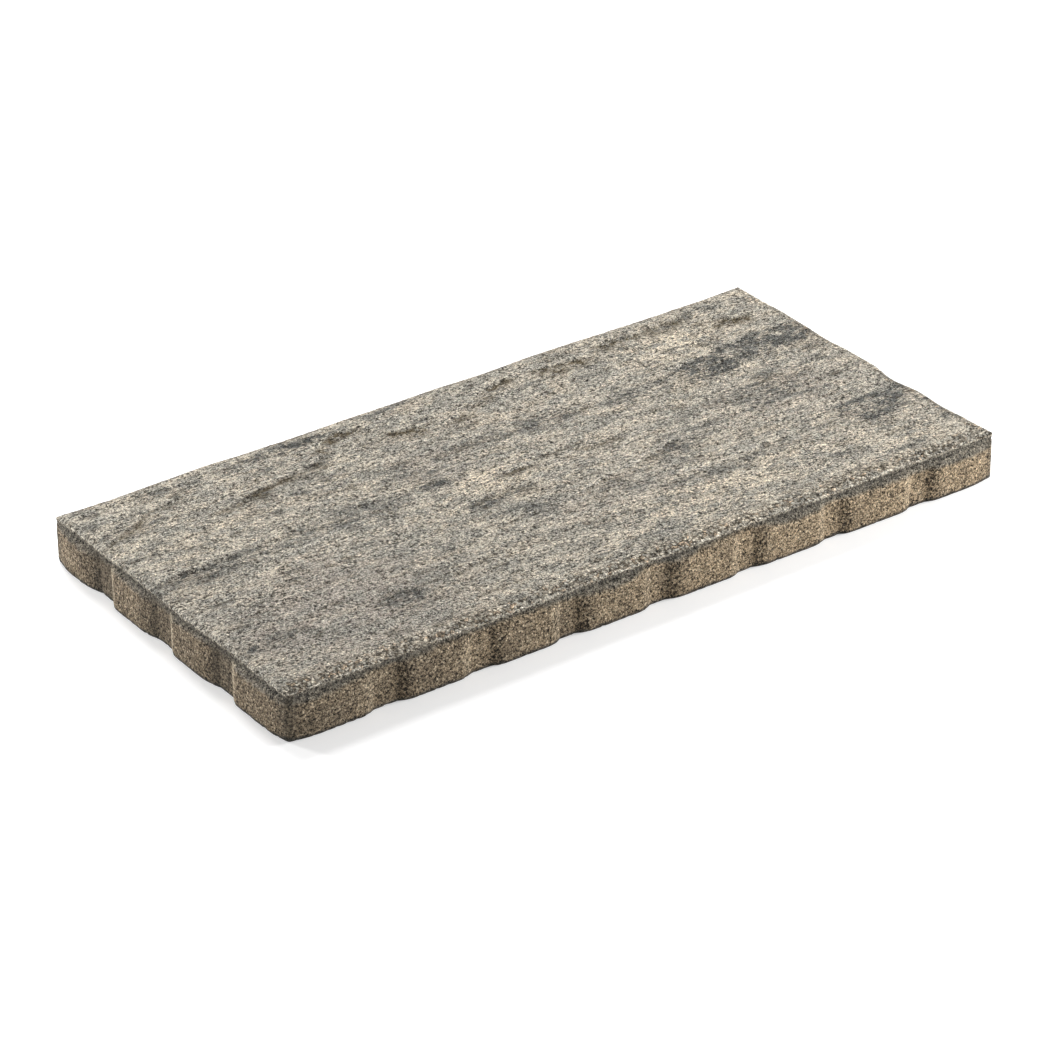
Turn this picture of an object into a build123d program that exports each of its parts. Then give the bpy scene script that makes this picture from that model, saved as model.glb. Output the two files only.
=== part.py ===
"""Concrete paving slab, pressed as one piece, with a riven face and spacer lobes.

The origin is at the middle of the underside, X runs along the length and Z is up.
The lower wall carries upright spacer lobes with rounded grooves between them. The
lobes round off below the arris, where the mould lifts off. Above the arris a hewn
bevel runs round the riven field, and shallow flakes stand on the field as ledges.
"""
import os

from build123d import *

# Overall size of the slab over its spacer lobes
slab_length = 800.0
slab_width = 400.0
slab_height = 50.0

# Steps down from the highest ledge to the field, the arris and the tops of the lobes
ledge_rise = 2.0
bevel_rise = 2.5
lobe_drop = 4.0

# Spacer lobes along every wall, with rounded shoulders and rounded grooves between them
lobe_pitch = 100.0
lobe_shoulder = 11.0
groove_depth = 4.2
groove_radius = 50.0
flank_radius = 45.0

# Corners and edges
lobe_corner = 14.0
corner_radius = 3.0
worn_edge = 1.2

# Riven face
wall_setback = 5.5
bevel_run = 11.0
field_calm = 0.5
strip_margin = 5.0
flake_slope = 1.6
flake_root = 3.0

# Depth that a hewn arris bows out or bites in, from one corner to the next
front_bites = (0.3, -0.6, 0.5, 0.2, -0.8, 0.4, 0.0, -0.5, 0.6, -0.4, 0.2)
right_bites = (0.4, -1.4, 0.6, -3.6, 1.0, 0.8, -1.4, 0.5, 1.6, 0.3)
back_bites = (-2.2, -1.6, -1.0, 0.9, 1.2, -0.6, 1.0, -0.2, 0.5, -0.6, -0.3, 1.6, 0.4, -1.2)
left_bites = (-0.6, 0.7, -0.5, 0.6, 1.8, 0.5, -0.9, 0.4)

# Ledge line of the high strip along the back, as shares of the strip's half length and of its back line
strip_ledge = (
    (-1.00, 0.66),
    (-0.81, 0.79),
    (-0.59, 0.72),
    (-0.43, 0.76),
    (-0.28, 0.88),
    (-0.12, 0.78),
    (0.02, 0.72),
    (0.20, 0.85),
    (0.40, 0.86),
    (0.60, 0.90),
    (0.79, 0.85),
    (1.00, 0.73),
)

# Each flake: middle, half spans and tilts towards the back and the right,
# with places and spans as shares of the half face
flakes = (
    (-0.80, 0.34, 0.15, 0.20, 0.030, 0.006),
    (-0.50, 0.40, 0.26, 0.20, 0.026, -0.006),
    (-0.08, 0.12, 0.24, 0.21, 0.030, 0.004),
    (0.38, 0.02, 0.20, 0.19, 0.034, -0.005),
    (0.70, 0.36, 0.22, 0.16, 0.028, 0.006),
    (0.20, 0.50, 0.22, 0.13, 0.028, -0.004),
    (-0.62, -0.42, 0.26, 0.17, 0.024, 0.005),
    (0.08, -0.52, 0.30, 0.16, 0.026, -0.004),
    (0.68, -0.36, 0.20, 0.17, 0.030, 0.006),
)
flake_shape = (0.96, 1.05, 0.90, 1.08, 0.94, 1.02, 0.88, 1.06)

field_height = slab_height - ledge_rise
arris_height = field_height - bevel_rise
lobe_height = arris_height - lobe_drop
face_length = slab_length - 2 * wall_setback
face_width = slab_width - 2 * wall_setback


def hewn_side(start, end, bites):
    """Return the points of one arris from corner to corner, bowed by its bites."""
    along = (end - start) / (len(bites) + 1)
    outward = along.normalized().rotate(Axis.Z, -90)
    inner = [start + along * (i + 1) + outward * bite for i, bite in enumerate(bites)]
    return [start, *inner, end]


def hewn_outline(inset=0.0, calm=1.0):
    """Draw the hewn outline of the face, drawn in by inset and with its bites calmed."""
    x = face_length / 2 - inset
    y = face_width / 2 - inset
    r = corner_radius
    sides = (
        (Vector(-x + r, -y), Vector(x - r, -y), front_bites),
        (Vector(x, -y + r), Vector(x, y - r), right_bites),
        (Vector(x - r, y), Vector(-x + r, y), back_bites),
        (Vector(-x, y - r), Vector(-x, -y + r), left_bites),
    )
    for i, (start, end, bites) in enumerate(sides):
        along = (end - start).normalized()
        points = hewn_side(start, end, [bite * calm for bite in bites])
        Spline(*points, tangents=(along, along))
        TangentArc(end, sides[(i + 1) % len(sides)][0], tangent=along)


def groove_places(wall_length):
    """Return where the grooves lie along one wall, one between each two lobes."""
    lobes = int(wall_length // lobe_pitch)
    return [(i - lobes / 2) * lobe_pitch for i in range(1, lobes)]


# Middle of each groove's round floor, out beyond its wall
groove_reach = groove_radius - groove_depth
groove_middles = [
    (x, side * (slab_width / 2 + groove_reach))
    for side in (-1, 1)
    for x in groove_places(slab_length)
] + [
    (side * (slab_length / 2 + groove_reach), y)
    for side in (-1, 1)
    for y in groove_places(slab_width)
]


def strip_outline(shift=0.0):
    """Draw the high strip along the back, with its ledge and ends drawn in by shift."""
    end = face_length / 2 - bevel_run - strip_margin
    back = face_width / 2 - bevel_run - strip_margin
    ledge = [(u * (end - shift), v * back + shift) for u, v in strip_ledge]
    Spline(*ledge)
    Polyline(ledge[-1], (end - shift, back - shift), (shift - end, back - shift), ledge[0])


def flake_outline(half_x, half_y, spread=0.0):
    """Draw one flake as a closed uneven curve, spread outward at its root."""
    count = len(flake_shape)
    points = []
    for i, share in enumerate(flake_shape):
        ray = Vector(1, 0).rotate(Axis.Z, 360 * i / count)
        points.append(Vector(ray.X * (half_x * share + spread), ray.Y * (half_y * share + spread)))
    Spline(*points, periodic=True)


def flake(u, v, span_u, span_v, tilt_back, tilt_right):
    """Return one flake, high along its front edge and sinking into the field behind."""
    half_x = span_u * face_length / 2
    half_y = span_v * face_width / 2
    middle = Vector(u * face_length / 2, v * face_width / 2, field_height)
    top = Plane(origin=middle, x_dir=(1, 0, -tilt_right), z_dir=(tilt_right, tilt_back, 1))
    with BuildPart() as shard:
        with BuildSketch(top.offset(-flake_root)):
            with BuildLine():
                flake_outline(half_x, half_y, flake_root * flake_slope)
            make_face()
        with BuildSketch(top):
            with BuildLine():
                flake_outline(half_x, half_y)
            make_face()
        loft()
    return shard.part


shards = [flake(*sizes) for sizes in flakes]

with BuildPart() as paving_slab:
    # Lower wall with its spacer lobes
    with BuildSketch() as lobed_outline:
        Rectangle(slab_length, slab_width)
        corners = lobed_outline.vertices()
        with Locations(*groove_middles):
            Circle(groove_radius, mode=Mode.SUBTRACT)
        fillet(lobed_outline.vertices() - corners, flank_radius)
        fillet(lobed_outline.vertices().sort_by(lambda v: -abs(v.X) - abs(v.Y))[:4], lobe_corner)
    extrude(amount=lobe_height)
    lobe_tops = faces().sort_by(Axis.Z)[-1]
    fillet(lobe_tops.edges(), lobe_shoulder)
    chamfer(faces().sort_by(Axis.Z)[0].edges(), worn_edge)

    # Upper wall, up to the hewn arris
    with BuildSketch(Plane.XY.offset(worn_edge)):
        with BuildLine():
            hewn_outline()
        make_face()
    extrude(amount=arris_height - worn_edge)

    # Hewn bevel up to the riven field
    with BuildSketch(Plane.XY.offset(arris_height)):
        with BuildLine():
            hewn_outline()
        make_face()
    with BuildSketch(Plane.XY.offset(field_height)):
        with BuildLine():
            hewn_outline(bevel_run, field_calm)
        make_face()
    loft()

    # High strip along the back, with its ledge facing the front
    with BuildSketch(Plane.XY.offset(slab_height - flake_root)):
        with BuildLine():
            strip_outline()
        make_face()
    with BuildSketch(Plane.XY.offset(slab_height)):
        with BuildLine():
            strip_outline(flake_root * flake_slope)
        make_face()
    loft()

    # Flakes that stand on the field
    add(shards)

paving_slab.part.label = "paving_slab"

os.makedirs("parts", exist_ok=True)
export_step(paving_slab.part, "parts/paving_slab.step")

box = paving_slab.part.bounding_box()
print("size", box.size, "solids", len(paving_slab.part.solids()))
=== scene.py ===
"""Looks of the concrete paving slab: its riven face, pressed walls and underside.

The slab is one closed mesh. Its face is a grid drawn out to the hewn arris, its
walls are rings that run down from that arris over the spacer lobes, and one flat
polygon closes the underside. Sizes are in millimetres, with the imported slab's own
box as the outer limit, and the mesh is made in metres.
"""
import logging
import math
from dataclasses import dataclass, field
from enum import Enum
from functools import cached_property

import bpy
import numpy as np
from mathutils import Matrix, Vector


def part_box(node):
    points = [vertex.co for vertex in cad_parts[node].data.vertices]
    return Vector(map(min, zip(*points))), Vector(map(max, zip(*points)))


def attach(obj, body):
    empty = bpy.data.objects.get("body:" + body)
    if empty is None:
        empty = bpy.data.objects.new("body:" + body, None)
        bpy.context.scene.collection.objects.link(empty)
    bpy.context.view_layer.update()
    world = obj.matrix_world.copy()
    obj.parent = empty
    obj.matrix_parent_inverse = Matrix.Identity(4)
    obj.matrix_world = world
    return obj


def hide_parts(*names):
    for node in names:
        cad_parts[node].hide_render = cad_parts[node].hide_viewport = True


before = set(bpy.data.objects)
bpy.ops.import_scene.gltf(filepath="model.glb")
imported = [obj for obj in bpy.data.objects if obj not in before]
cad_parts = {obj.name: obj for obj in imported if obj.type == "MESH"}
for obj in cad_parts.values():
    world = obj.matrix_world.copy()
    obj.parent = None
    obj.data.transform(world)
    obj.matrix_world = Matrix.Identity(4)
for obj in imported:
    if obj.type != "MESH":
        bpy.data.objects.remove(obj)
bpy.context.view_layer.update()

NODE = "paving_slab"
MM = 0.001
TINY = 1e-9
LATTICE = 256
EVEN = (1.0, 1.0, 1.0)
LOG = logging.getLogger("paving_slab")
Array = np.ndarray
Colour = tuple[float, float, float]
Line = tuple[tuple[float, float], ...]
Values = dict[str | int, object]
Owner = bpy.types.Material | bpy.types.World


class Side(Enum):
    """The four walls, with the plan direction that each one faces."""

    FRONT = (0, -1)
    RIGHT = (1, 0)
    BACK = (0, 1)
    LEFT = (-1, 0)

    @property
    def place(self) -> int:
        """Return the wall's place in the round, from the front."""
        return list(Side).index(self)

    def course(self, x: Array, y: Array, half_x: float, half_y: float) -> tuple[Array, float, Array]:
        """Set points of the plan against the wall.

        Args:
            x, y: places along and across the slab.
            half_x, half_y: half the length and width of the outline.

        Returns:
            The places along the wall, half the wall's length, and the distances in from it.
        """
        facing_x, facing_y = self.value
        if facing_y:
            return x, half_x, half_y - facing_y * y
        return y, half_y, half_x - facing_x * x


class Skin(Enum):
    """Which finish a face of the mesh takes, as its material index."""

    FACE = 0
    WALL = 1
    UNDERSIDE = 2


class Mask(Enum):
    """Shares that the mesh hands to the finishes, one number for each vertex."""

    CHARCOAL = "charcoal"
    CREAM = "cream"
    PLUM = "plum"
    # Painted shade at the feet of the face's ledges.
    LEDGE_SHADE = "crevice"
    CRUMB = "crumb"
    # Pale flash along the arris, and on the face the painted highlight along the ledges' top edges.
    FLASH = "flash"
    # Painted shade a little below the arris.
    ARRIS_SHADE = "undercut"
    FOOT = "foot"
    # Dark smear at the wall corners, and painted shade in the left wall's groove floors.
    SMEAR = "smear"
    # Painted shade on the steep flank of each groove.
    SEAM = "seam"
    FACE_MIX = "face_mix"
    # Rubbed, smoother flanks, with a painted highlight where they face the light.
    RUBBED_AND_LIT = "rubbed"
    # Pitted flanks, with painted shade where they face away from the light.
    PITTED_AND_SHADED = "pitted"


Shares = dict[Mask, Array]


def smooth(low: float, high: float, value: Array) -> Array:
    """Return 0 below low, 1 above high and a smooth rise between them."""
    share = np.clip((value - low) / (high - low), 0.0, 1.0)
    return share * share * (3.0 - 2.0 * share)


def bell(off: Array, width: float | Array) -> Array:
    """Return 1 in the middle, falling to nothing a few widths off on both sides."""
    return np.exp(-((off / width) ** 2))


def fade(past: Array, reach: float) -> Array:
    """Return 1 up to the start, falling away over the reach past it."""
    return np.exp(-np.clip(past, 0, None) / reach)


def lattice_noise(seed: int, x: Array, y: Array) -> Array:
    """Work out one layer of gradient noise, the same on every run.

    Args:
        seed: picks the lattice.
        x, y: coordinates, in lattice cells.

    Returns:
        Values from about -1 to 1.
    """
    rng = np.random.default_rng(seed)
    turn = rng.permutation(LATTICE)
    angle = rng.random(LATTICE) * math.tau
    col, row = np.floor(x).astype(int), np.floor(y).astype(int)
    u, v = x - col, y - row
    fade_u, fade_v = (t * t * t * (t * (6 * t - 15) + 10) for t in (u, v))

    def corner(i: int, j: int) -> Array:
        """Return the pull of one lattice corner."""
        heading = angle[turn[(turn[(col + i) % LATTICE] + row + j) % LATTICE]]
        return np.cos(heading) * (u - i) + np.sin(heading) * (v - j)

    low = corner(0, 0) * (1 - fade_u) + corner(1, 0) * fade_u
    high = corner(0, 1) * (1 - fade_u) + corner(1, 1) * fade_u
    return (low * (1 - fade_v) + high * fade_v) * 1.5


@dataclass(frozen=True)
class Grit:
    """Smooth noise over the slab: its seed, the size of its widest features and its layers."""

    seed: int
    wide: float
    deep: float = 1.0
    layers: int = 3
    gain: float = 0.5

    def at(self, x: Array, y: Array, step: int = 0) -> Array:
        """Add up the layers, each finer and weaker than the last.

        Args:
            x, y: places along and across the slab.
            step: moves on to another seed.

        Returns:
            Values from about -1 to 1.
        """
        total, weight, reach = np.zeros_like(x), 1.0, 0.0
        for layer in range(self.layers):
            finer = 2**layer
            seed = self.seed + step + layer
            total += weight * lattice_noise(seed, x / self.wide * finer, y / self.deep * finer)
            reach += weight
            weight *= self.gain
        return total / reach

    def along(self, run: Array, step: int = 0) -> Array:
        """Return the noise along a line."""
        return self.at(run, np.zeros_like(run), step)


@dataclass(frozen=True)
class Patch:
    """A long soft patch of colour on the face, in millimetres from its middle."""

    x0: float
    x1: float
    y0: float
    y1: float
    strength: float = 1.0

    def share(self, x: Array, y: Array) -> Array:
        """Work out how much of the patch's colour shows.

        Args:
            x, y: places along and across the slab.

        Returns:
            The share at each point.
        """
        along = (x - (self.x0 + self.x1) / 2) / ((self.x1 - self.x0) / 2)
        across = (y - (self.y0 + self.y1) / 2) / ((self.y1 - self.y0) / 2)
        return self.strength * (1.0 - smooth(0.45, 1.35, np.hypot(along, across)))


@dataclass(frozen=True)
class Ledge:
    """A split edge on the face: higher behind its line, sinking back over its tail."""

    line: Line
    rise: float
    tail: float = 60.0
    scarp: float = 4.0
    fray: float = 14.0
    reach: float = 6.0
    # Strength of the painted shade below the ledge, part of which turns to charcoal colour by charcoal.
    foot_shade_and_charcoal: float = 1.0
    charcoal: float = 0.0
    # Strength of the pale painted highlight along the top edge of the scarp.
    lip_highlight: float = 0.3
    lip_place: float = 2.4
    lip_width: float = 2.2

    def parts(self, x: Array, y: Array, wander: Array, broken: Array) -> tuple[Array, Array, Array]:
        """Work out what the ledge adds to the face.

        Args:
            x, y: places along and across the slab.
            wander: how far the line strays from its drawn course.
            broken: how strong the ledge is, about one.

        Returns:
            The height, the share of painted shade and charcoal below the ledge, and the share of painted
            highlight along the top edge of its scarp.
        """
        knots = np.array(self.line)
        behind = y - np.interp(x, knots[:, 0], knots[:, 1]) - wander
        ends = smooth(knots[0, 0] - self.fray, knots[0, 0] + self.fray, x)
        ends = ends * (1 - smooth(knots[-1, 0] - self.fray, knots[-1, 0] + self.fray, x))
        weight = ends * np.clip(broken, 0, 1.4)
        step = smooth(-self.scarp / 2, self.scarp / 2, behind)
        back, front = fade(behind, self.tail), fade(-behind, self.tail / 5)
        height = self.rise * (step * back - 0.5 * (1 - step) * front)
        reach = self.reach * np.clip(broken, 0.3, 2.0)
        # The band in front of the scarp, painted as shade and partly as charcoal.
        below = (1 - smooth(-1.2, 1.0, behind)) * bell(np.clip(-behind, 0, None), reach)
        lip_highlight = bell(behind - self.lip_place, self.lip_width)
        return height * weight, self.foot_shade_and_charcoal * below * weight, self.lip_highlight * lip_highlight * weight


@dataclass
class RivenFace:
    """The split face: its hewn bevel, ledges, swells and patches of colour."""

    half_x: float
    half_y: float
    bevel_rise: float = 2.5
    bevel_curve: float = 1.7
    bevel_runs: tuple[float, float, float, float] = (11.0, 8.0, 6.0, 3.0)
    crumbling: tuple[float, float, float, float] = (1.0, 0.7, 0.4, 0.1)
    calm_edge: float = 14.0
    swell: float = 0.5
    shingle: float = 0.9
    shingle_pitch: float = 30.0
    tooth: float = 0.3
    chip: float = 2.2
    # How strong the painted shade along the small ledges' feet is, and how much of it turns to charcoal
    # colour.
    streak_share: float = 0.75
    streak_charcoal: float = 0.8
    wander_grit: Grit = Grit(5, 22, 60, 4, 0.6)
    waver_grit: Grit = Grit(9, 6, 6, 2)
    shingle_grit: Grit = Grit(11, 110, 42, 4)
    broken_grit: Grit = Grit(13, 30, 16, 4, 0.6)
    strength_grit: Grit = Grit(17, 90, 50, 2)
    swell_grit: Grit = Grit(23, 95, 45)
    tooth_grit: Grit = Grit(31, 9, 6.5, 3, 0.7)
    bevel_grit: Grit = Grit(41, 30, 30)
    crumb_grit: Grit = Grit(47, 14, 14)
    chip_grit: Grit = Grit(53, 6, 6, 2, 0.6)
    bend_x_grit: Grit = Grit(61, 42, 26)
    bend_y_grit: Grit = Grit(67, 60, 22)
    streak_grit: Grit = Grit(71, 120, 15, 4, 0.6)
    mottle_grit: Grit = Grit(79, 60, 22, 4, 0.6)
    foot_grit: Grit = Grit(151, 34, 12, 4, 0.6)
    # Each ledge sets the painted shade and charcoal at its foot and the painted highlight along its top edge.
    ledges: tuple[Ledge, ...] = (
        Ledge(((-392, 112), (-360, 128), (-325, 148), (-290, 150)), 1.4, foot_shade_and_charcoal=0.8, reach=8),
        Ledge(((-285, 110), (-262, 113), (-240, 116)), 1.2, foot_shade_and_charcoal=0.7, reach=8),
        Ledge(
            ((-240, 118), (-212, 124), (-185, 128), (-150, 134), (-140, 142)), 1.9,
            reach=10, foot_shade_and_charcoal=1.5, charcoal=0.3,
        ),
        Ledge(((-140, 152), (-124, 165), (-110, 171), (-84, 169)), 1.8, foot_shade_and_charcoal=1.4, reach=9),
        Ledge(((-78, 158), (-62, 145), (-48, 137), (-16, 135)), 1.6, foot_shade_and_charcoal=1.2, reach=9),
        Ledge(((-18, 121), (5, 130), (38, 143)), 1.3, foot_shade_and_charcoal=0.9, reach=9),
        Ledge(((50, 154), (70, 162), (94, 167)), 1.6, foot_shade_and_charcoal=1.3, reach=12),
        Ledge(((120, 166), (150, 161), (174, 156)), 1.9, foot_shade_and_charcoal=1.6, reach=13),
        Ledge(((196, 172), (240, 168), (304, 171)), 1.4, foot_shade_and_charcoal=1.0, reach=12),
        Ledge(((308, 155), (330, 143), (362, 134)), 1.9, foot_shade_and_charcoal=1.5, reach=15),
        Ledge(
            ((-402, 22), (-390, 27), (-365, 32), (-335, 33), (-296, 36)), 2.4, 45,
            reach=13, foot_shade_and_charcoal=0.85, charcoal=0.75, lip_highlight=0.5,
        ),
        Ledge(((-262, 38), (-215, 40), (-170, 33)), 0.9, 30, reach=11, foot_shade_and_charcoal=0.45, charcoal=1.0),
        Ledge(((-172, 43), (-140, 40), (-100, 38)), 1.0, 30, reach=5, foot_shade_and_charcoal=0.9, charcoal=0.7),
        Ledge(((-84, -16), (-55, -15), (-20, -17), (5, -20)), 1.3, 35, reach=6, charcoal=0.6, lip_highlight=0.5),
        Ledge(((108, -34), (140, -31), (172, -33)), 1.2, 35, reach=12, foot_shade_and_charcoal=0.8, charcoal=0.8),
        Ledge(((20, 24), (45, 20), (66, 22)), 1.0, 25, foot_shade_and_charcoal=0.9, charcoal=0.3),
        Ledge(((60, 12), (85, 8), (108, 10)), 0.9, 25, foot_shade_and_charcoal=1.1),
        Ledge(((-30, 14), (-10, 11), (12, 14)), 0.8, 20, foot_shade_and_charcoal=0.9),
        Ledge(((-60, 78), (-30, 84), (10, 82)), 0.9, 25, foot_shade_and_charcoal=0.7, charcoal=0.7),
        Ledge(((205, 80), (250, 88), (300, 97), (392, 96)), 1.1, 40, reach=20, foot_shade_and_charcoal=0.9, charcoal=1.0),
        Ledge(((-270, 2), (-230, 8), (-190, 14), (-150, 16)), 0.7, 25, foot_shade_and_charcoal=0.0, lip_highlight=0.6),
        Ledge(((10, -60), (40, -52), (90, -43), (130, -34)), 0.7, 25, foot_shade_and_charcoal=0.3, lip_highlight=0.7),
        Ledge(((-235, -104), (-160, -112), (-110, -100)), 0.9, 25, foot_shade_and_charcoal=0.7, charcoal=0.4),
        Ledge(((-390, -60), (-340, -66), (-290, -60)), 0.8, 25, foot_shade_and_charcoal=0.4, charcoal=0.6),
        Ledge(((110, -84), (160, -92), (215, -86)), 0.7, 25, foot_shade_and_charcoal=0.0, lip_highlight=0.5),
    )
    charcoal: tuple[Patch, ...] = (
        Patch(-395, -297, 8, 28, 0.45),
        Patch(-255, -120, 10, 42, 0.5),
        Patch(-108, -66, 24, 96, 0.4),
        Patch(-60, 8, 68, 94, 0.5),
        Patch(0, 100, 60, 92, 0.45),
        Patch(148, 184, 48, 84, 0.5),
        Patch(205, 312, 52, 82, 1.0),
        Patch(280, 402, 56, 98, 0.9),
        Patch(360, 400, 36, 66, 0.7),
        Patch(215, 340, -24, 22, 0.5),
        Patch(290, 386, -112, -68, 0.85),
        Patch(382, 402, -190, -30, 0.55),
        Patch(-200, -112, 166, 190, 0.7),
        Patch(-75, -15, 175, 192, 0.5),
        Patch(296, 385, 164, 178, 0.5),
        Patch(-255, -195, -136, -102, 0.6),
        Patch(-400, -320, -136, -86, 0.3),
        Patch(-48, -22, -74, -54, 0.6),
        Patch(112, 168, -52, -34, 0.7),
        Patch(-84, -20, -28, -14, 0.6),
        Patch(-250, -232, 60, 80, 0.35),
    )
    cream: tuple[Patch, ...] = (
        Patch(-92, 32, -10, 32, 1.1),
        Patch(58, 110, 4, 30, 0.9),
        Patch(195, 325, 98, 160, 0.9),
        Patch(225, 340, 36, 56, 0.8),
        Patch(10, 255, -172, -92, 0.65),
        Patch(270, 375, -172, -112, 0.5),
        Patch(-390, -250, 40, 110, 0.3),
    )
    plum: tuple[Patch, ...] = (
        Patch(-400, -150, -190, -10, 0.9),
        Patch(-110, -20, 20, 110, 0.5),
        Patch(-60, 120, -110, -50, 0.35),
        Patch(200, 390, -60, 20, 0.4),
    )

    def fine_ledges(self, x: Array, y: Array) -> tuple[Array, Array]:
        """Work out the many small ledges.

        Args:
            x, y: places along and across the slab.

        Returns:
            Their saw-toothed relief, and the painted shade along their feet.
        """
        level = y / self.shingle_pitch + 1.5 * self.shingle_grit.at(x, y)
        share = level - np.floor(level)
        strength = smooth(-0.5, 0.5, self.strength_grit.at(x, y))
        foot = smooth(0.80, 0.96, share) + 1.0 - smooth(0.02, 0.12, share)
        broken = smooth(0.02, 0.40, self.foot_grit.at(x, y))
        return (smooth(0.0, 0.16, share) - share) * strength, foot * broken

    def bevel(self, x: Array, y: Array) -> tuple[Array, Array]:
        """Work out the hewn bevel along the four arrises.

        Args:
            x, y: places along and across the slab.

        Returns:
            The height over the arris, and how crumbly the stone is.
        """
        inward, crumb = np.full_like(x, 9.0), np.zeros_like(x)
        uneven = 1.0 + 0.45 * self.bevel_grit.at(x, y)
        for side, run, crumbling in zip(Side, self.bevel_runs, self.crumbling):
            share = side.course(x, y, self.half_x, self.half_y)[2] / (run * uneven)
            inward = np.minimum(inward, share)
            crumb = np.maximum(crumb, crumbling * (1.0 - smooth(0.7, 2.1, share)))
        return self.bevel_rise * (1.0 - (1.0 - np.clip(inward, 0, 1)) ** self.bevel_curve), crumb

    def height(self, x: Array, y: Array) -> tuple[Array, Shares]:
        """Work out the face's relief.

        Args:
            x, y: places along and across the slab.

        Returns:
            The height over the arris, and the masks that the relief brings, among them painted shade at the
            ledges' feet and painted highlight along their top edges.
        """
        shingles, streaks = self.fine_ledges(x, y)
        relief = self.swell * self.swell_grit.at(x, y)
        relief = relief + self.shingle * shingles
        relief = relief + self.tooth * self.tooth_grit.at(x, y)
        # Painted shade along the small ledges' feet, part of it as charcoal colour.
        crevice, flash = self.streak_share * streaks, np.zeros_like(x)
        charcoal = self.streak_charcoal * self.streak_share * streaks
        wander = 4.0 * self.wander_grit.at(x, y) + 1.6 * self.waver_grit.at(x, y)
        for place, ledge in enumerate(self.ledges):
            broken = 1.10 + 1.9 * self.broken_grit.at(x, y, place)
            rise, foot_shade_and_charcoal, lip_highlight = ledge.parts(x, y, wander, broken)
            relief = relief + rise
            # Each ledge adds painted shade at its foot, part of it as charcoal colour, and painted highlight
            # along the top edge of its scarp, which joins the flash mask.
            crevice = np.maximum(crevice, (1 - ledge.charcoal) * foot_shade_and_charcoal)
            charcoal = np.maximum(charcoal, ledge.charcoal * foot_shade_and_charcoal)
            flash = np.maximum(flash, lip_highlight)
        bevel, crumb = self.bevel(x, y)
        chips = self.chip * self.chip_grit.at(x, y) * crumb
        crumb = crumb * smooth(-0.8, 0.1, self.crumb_grit.at(x, y))
        edge = np.minimum(self.half_x - np.abs(x), self.half_y - np.abs(y))
        height = bevel + smooth(0.0, 2.5, edge) * (relief * smooth(1.0, self.calm_edge, edge) + chips)
        masks = {Mask.LEDGE_SHADE: crevice, Mask.CHARCOAL: charcoal, Mask.FLASH: flash, Mask.CRUMB: crumb}
        return height, masks

    def colour_shares(self, x: Array, y: Array) -> Shares:
        """Work out how much charcoal, cream and plum shows.

        Args:
            x, y: places along and across the slab.

        Returns:
            The three masks.
        """
        bent_x = x + 22.0 * self.bend_x_grit.at(x, y)
        bent_y = y + 9.0 * self.bend_y_grit.at(x, y)
        streak, mottle = self.streak_grit.at(x, y), self.mottle_grit.at(x, y)
        groups, shares = {Mask.CHARCOAL: self.charcoal, Mask.CREAM: self.cream, Mask.PLUM: self.plum}, {}
        for mask, group in groups.items():
            shares[mask] = np.zeros_like(x)
            for patch in group:
                shares[mask] = np.maximum(shares[mask], patch.share(bent_x, bent_y))
        charcoal, cream = shares[Mask.CHARCOAL], shares[Mask.CREAM]
        shares[Mask.CHARCOAL] = charcoal * (0.95 + 0.8 * streak) + 0.50 * smooth(0.10, 0.45, streak)
        shares[Mask.CREAM] = cream * (0.9 + 0.9 * mottle) + 0.5 * smooth(0.05, 0.45, mottle)
        return {mask: np.clip(share, 0, 1) for mask, share in shares.items()}


@dataclass(frozen=True)
class Groove:
    """A groove between two lobes: its middle, depth, flat floor and the widths of its two flanks."""

    place: float
    depth: float
    floor: float
    before: float
    after: float


def wall_grooves() -> dict[Side, tuple[Groove, ...]]:
    """Return the grooves of the four walls."""
    rows = {
        Side.FRONT: (
            (-294, 4.6, 24, 16, 16),
            (-194, 3.9, 20, 15, 16),
            (-99, 5.0, 16, 15, 20),
            (1, 5.0, 16, 15, 20),
            (101, 3.9, 16, 14, 18),
            (201, 4.0, 16, 14, 18),
            (304, 4.0, 18, 14, 16),
        ),
        Side.RIGHT: ((-98, 4.6, 20, 12, 24), (0, 3.6, 20, 12, 24), (102, 4.8, 20, 12, 24)),
        Side.BACK: (
            (-299, 4.6, 16, 18, 18),
            (-201, 4.9, 16, 18, 18),
            (-98, 3.6, 16, 18, 18),
            (2, 4.4, 16, 18, 18),
            (99, 5.1, 16, 18, 18),
            (202, 3.4, 16, 18, 18),
            (300, 4.7, 16, 18, 18),
        ),
        Side.LEFT: ((-96, 5.3, 20, 14, 30), (6.5, 5.0, 21, 14, 26), (108, 5.6, 20, 14, 34)),
    }
    return {side: tuple(Groove(*row) for row in table) for side, table in rows.items()}


def arris_bites() -> dict[Side, tuple[float, ...]]:
    """Return how far the hewn arris bows out at even steps along each wall."""
    return {
        Side.FRONT: (0, 0.3, -0.6, 0.5, 0.2, -0.8, 0.4, 0.0, -0.5, 0.6, -0.4, 0.2, 0),
        Side.RIGHT: (2.6, 0.9, -1.4, 0.6, -3.6, 1.0, 0.8, -1.4, 0.5, 1.6, 0.3, 0),
        Side.BACK: (0, -1.2, 0.4, 1.6, -0.3, -0.6, 0.5, -0.2, 1.0, -0.6, 1.2, 0.9, -1.0, -1.6, -2.2, 0),
        Side.LEFT: (0, 0.4, -0.9, 0.5, 1.8, 0.6, -0.5, 0.7, 0.4, 1.7),
    }


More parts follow.
